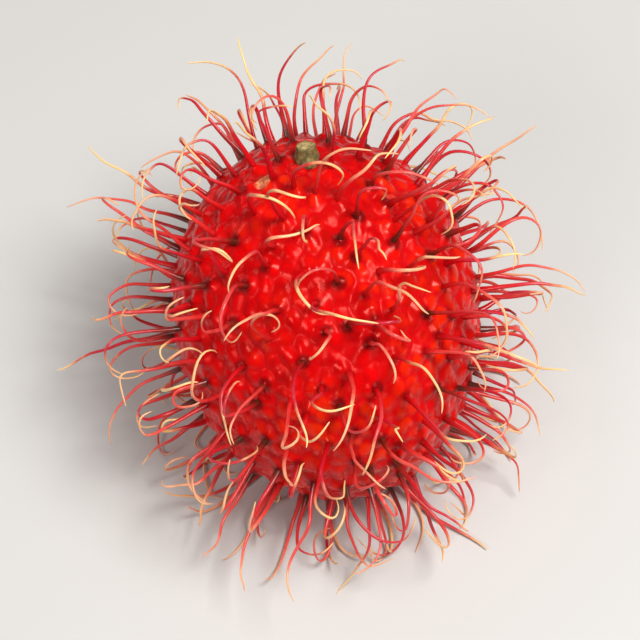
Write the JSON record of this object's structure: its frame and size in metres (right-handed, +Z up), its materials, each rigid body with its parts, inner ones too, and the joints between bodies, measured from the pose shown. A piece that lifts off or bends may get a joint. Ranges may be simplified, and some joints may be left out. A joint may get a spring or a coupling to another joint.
{
  "type": "rambutan",
  "caption": "Picked rambutan lying on its side: an oval fruit with a leathery red rind, soft hooked spines all over it and a short corky stub of stalk.",
  "frame": {"origin": "centre of the small flat spot on the underside that the fruit rests on", "axes": "+Z up, +Y along the fruit to its stalk end, which is a little raised, and +X to the right as seen from its tip"},
  "size_m": [0.0682, 0.0722, 0.0538],
  "materials": {
    "rind": "semi-gloss crimson rind, pimpled, with soft spines paling to cream at their tips",
    "stalk": "dull olive-brown cork, cracked and dry"
  },
  "bodies": {
    "root": {"fruit": "rind", "stalk_stub": "stalk"}
  },
  "joints": []
}
